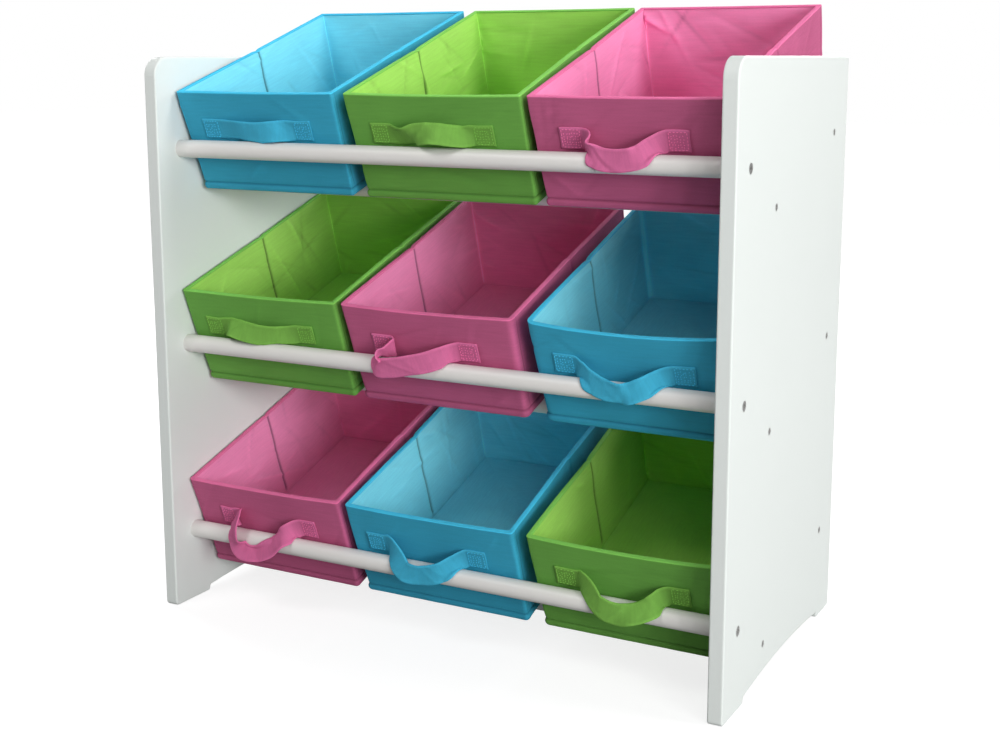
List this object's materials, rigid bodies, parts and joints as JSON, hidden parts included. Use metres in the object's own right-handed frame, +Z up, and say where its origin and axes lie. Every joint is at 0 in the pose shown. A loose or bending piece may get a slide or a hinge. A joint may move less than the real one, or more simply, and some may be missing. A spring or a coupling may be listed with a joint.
{
  "type": "toy storage organizer",
  "caption": "Open children's toy rack: two panels, round rods in rows, and removable forward-leaning fabric bins with strap handles.",
  "frame": {"origin": "on the floor, under the middle of the rack (centre of the bounding box's bottom)", "axes": "+Z up; +Y from the front to the back; +X to the right of someone who faces the front"},
  "size_m": [0.65, 0.345, 0.6516],
  "materials": {
    "panel_paint": "smooth white satin paint on board",
    "rod_paint": "smooth white satin paint on round wood",
    "fastener_steel": "zinc plated",
    "insert_brass": "plain",
    "wall_cardboard": "plain grey-brown board",
    "blue_fabric": "matt non-woven fabric",
    "blue_lining": "matt non-woven fabric",
    "blue_strap": "folded and stitched non-woven strap",
    "blue_base_fabric": "fabric-covered loose board",
    "green_fabric": "matt non-woven fabric",
    "green_lining": "matt non-woven fabric",
    "green_strap": "folded and stitched non-woven strap",
    "green_base_fabric": "fabric-covered loose board",
    "pink_fabric": "matt non-woven fabric",
    "pink_lining": "matt non-woven fabric",
    "pink_strap": "folded and stitched non-woven strap",
    "pink_base_fabric": "fabric-covered loose board"
  },
  "bodies": {
    "rack": {"left_side_panel": "panel_paint", "right_side_panel": "panel_paint", "bottom_front_rod": "rod_paint", "bottom_support_rod": "rod_paint", "bottom_rear_rod": "rod_paint", "middle_front_rod": "rod_paint", "middle_support_rod": "rod_paint", "middle_rear_rod": "rod_paint", "top_front_rod": "rod_paint", "top_support_rod": "rod_paint", "top_rear_rod": "rod_paint", "connector_bolts": "fastener_steel", "threaded_inserts": "insert_brass", "panel_screws": "fastener_steel"},
    "bottom_left_bin": {"bottom_left_bin_cover": "pink_fabric", "bottom_left_bin_lining": "pink_lining", "bottom_left_bin_wall_boards": "wall_cardboard", "bottom_left_bin_base_board": "pink_base_fabric", "bottom_left_bin_handle": "pink_strap"},
    "bottom_centre_bin": {"bottom_centre_bin_cover": "blue_fabric", "bottom_centre_bin_lining": "blue_lining", "bottom_centre_bin_wall_boards": "wall_cardboard", "bottom_centre_bin_base_board": "blue_base_fabric", "bottom_centre_bin_handle": "blue_strap"},
    "bottom_right_bin": {"bottom_right_bin_cover": "green_fabric", "bottom_right_bin_lining": "green_lining", "bottom_right_bin_wall_boards": "wall_cardboard", "bottom_right_bin_base_board": "green_base_fabric", "bottom_right_bin_handle": "green_strap"},
    "middle_left_bin": {"middle_left_bin_cover": "green_fabric", "middle_left_bin_lining": "green_lining", "middle_left_bin_wall_boards": "wall_cardboard", "middle_left_bin_base_board": "green_base_fabric", "middle_left_bin_handle": "green_strap"},
    "middle_centre_bin": {"middle_centre_bin_cover": "pink_fabric", "middle_centre_bin_lining": "pink_lining", "middle_centre_bin_wall_boards": "wall_cardboard", "middle_centre_bin_base_board": "pink_base_fabric", "middle_centre_bin_handle": "pink_strap"},
    "middle_right_bin": {"middle_right_bin_cover": "blue_fabric", "middle_right_bin_lining": "blue_lining", "middle_right_bin_wall_boards": "wall_cardboard", "middle_right_bin_base_board": "blue_base_fabric", "middle_right_bin_handle": "blue_strap"},
    "top_left_bin": {"top_left_bin_cover": "blue_fabric", "top_left_bin_lining": "blue_lining", "top_left_bin_wall_boards": "wall_cardboard", "top_left_bin_base_board": "blue_base_fabric", "top_left_bin_handle": "blue_strap"},
    "top_centre_bin": {"top_centre_bin_cover": "green_fabric", "top_centre_bin_lining": "green_lining", "top_centre_bin_wall_boards": "wall_cardboard", "top_centre_bin_base_board": "green_base_fabric", "top_centre_bin_handle": "green_strap"},
    "top_right_bin": {"top_right_bin_cover": "pink_fabric", "top_right_bin_lining": "pink_lining", "top_right_bin_wall_boards": "wall_cardboard", "top_right_bin_base_board": "pink_base_fabric", "top_right_bin_handle": "pink_strap"}
  },
  "joints": [
    {"name": "bottom_left_bin_tip", "type": "hinge", "parent": "rack", "child": "bottom_left_bin", "pos_m": [-0.2095, 0.12648, 0.09934], "axis": [-1, 0, 0], "range_deg": [0, 20]},
    {"name": "bottom_centre_bin_tip", "type": "hinge", "parent": "rack", "child": "bottom_centre_bin", "pos_m": [-0.003, 0.12648, 0.09934], "axis": [-1, 0, 0], "range_deg": [0, 20]},
    {"name": "bottom_right_bin_tip", "type": "hinge", "parent": "rack", "child": "bottom_right_bin", "pos_m": [0.2095, 0.12648, 0.09934], "axis": [-1, 0, 0], "range_deg": [0, 20]},
    {"name": "middle_left_bin_tip", "type": "hinge", "parent": "rack", "child": "middle_left_bin", "pos_m": [-0.2085, 0.12648, 0.31134], "axis": [-1, 0, 0], "range_deg": [0, 20]},
    {"name": "middle_centre_bin_tip", "type": "hinge", "parent": "rack", "child": "middle_centre_bin", "pos_m": [-0.004, 0.12648, 0.31134], "axis": [-1, 0, 0], "range_deg": [0, 20]},
    {"name": "middle_right_bin_tip", "type": "hinge", "parent": "rack", "child": "middle_right_bin", "pos_m": [0.2085, 0.12648, 0.31134], "axis": [-1, 0, 0], "range_deg": [0, 20]},
    {"name": "top_left_bin_lift", "type": "slide", "parent": "rack", "child": "top_left_bin", "axis": [0, -0.309, 0.9511], "range_m": [0, 0.16]},
    {"name": "top_centre_bin_lift", "type": "slide", "parent": "rack", "child": "top_centre_bin", "axis": [0, -0.309, 0.9511], "range_m": [0, 0.16]},
    {"name": "top_right_bin_lift", "type": "slide", "parent": "rack", "child": "top_right_bin", "axis": [0, -0.309, 0.9511], "range_m": [0, 0.16]}
  ]
}
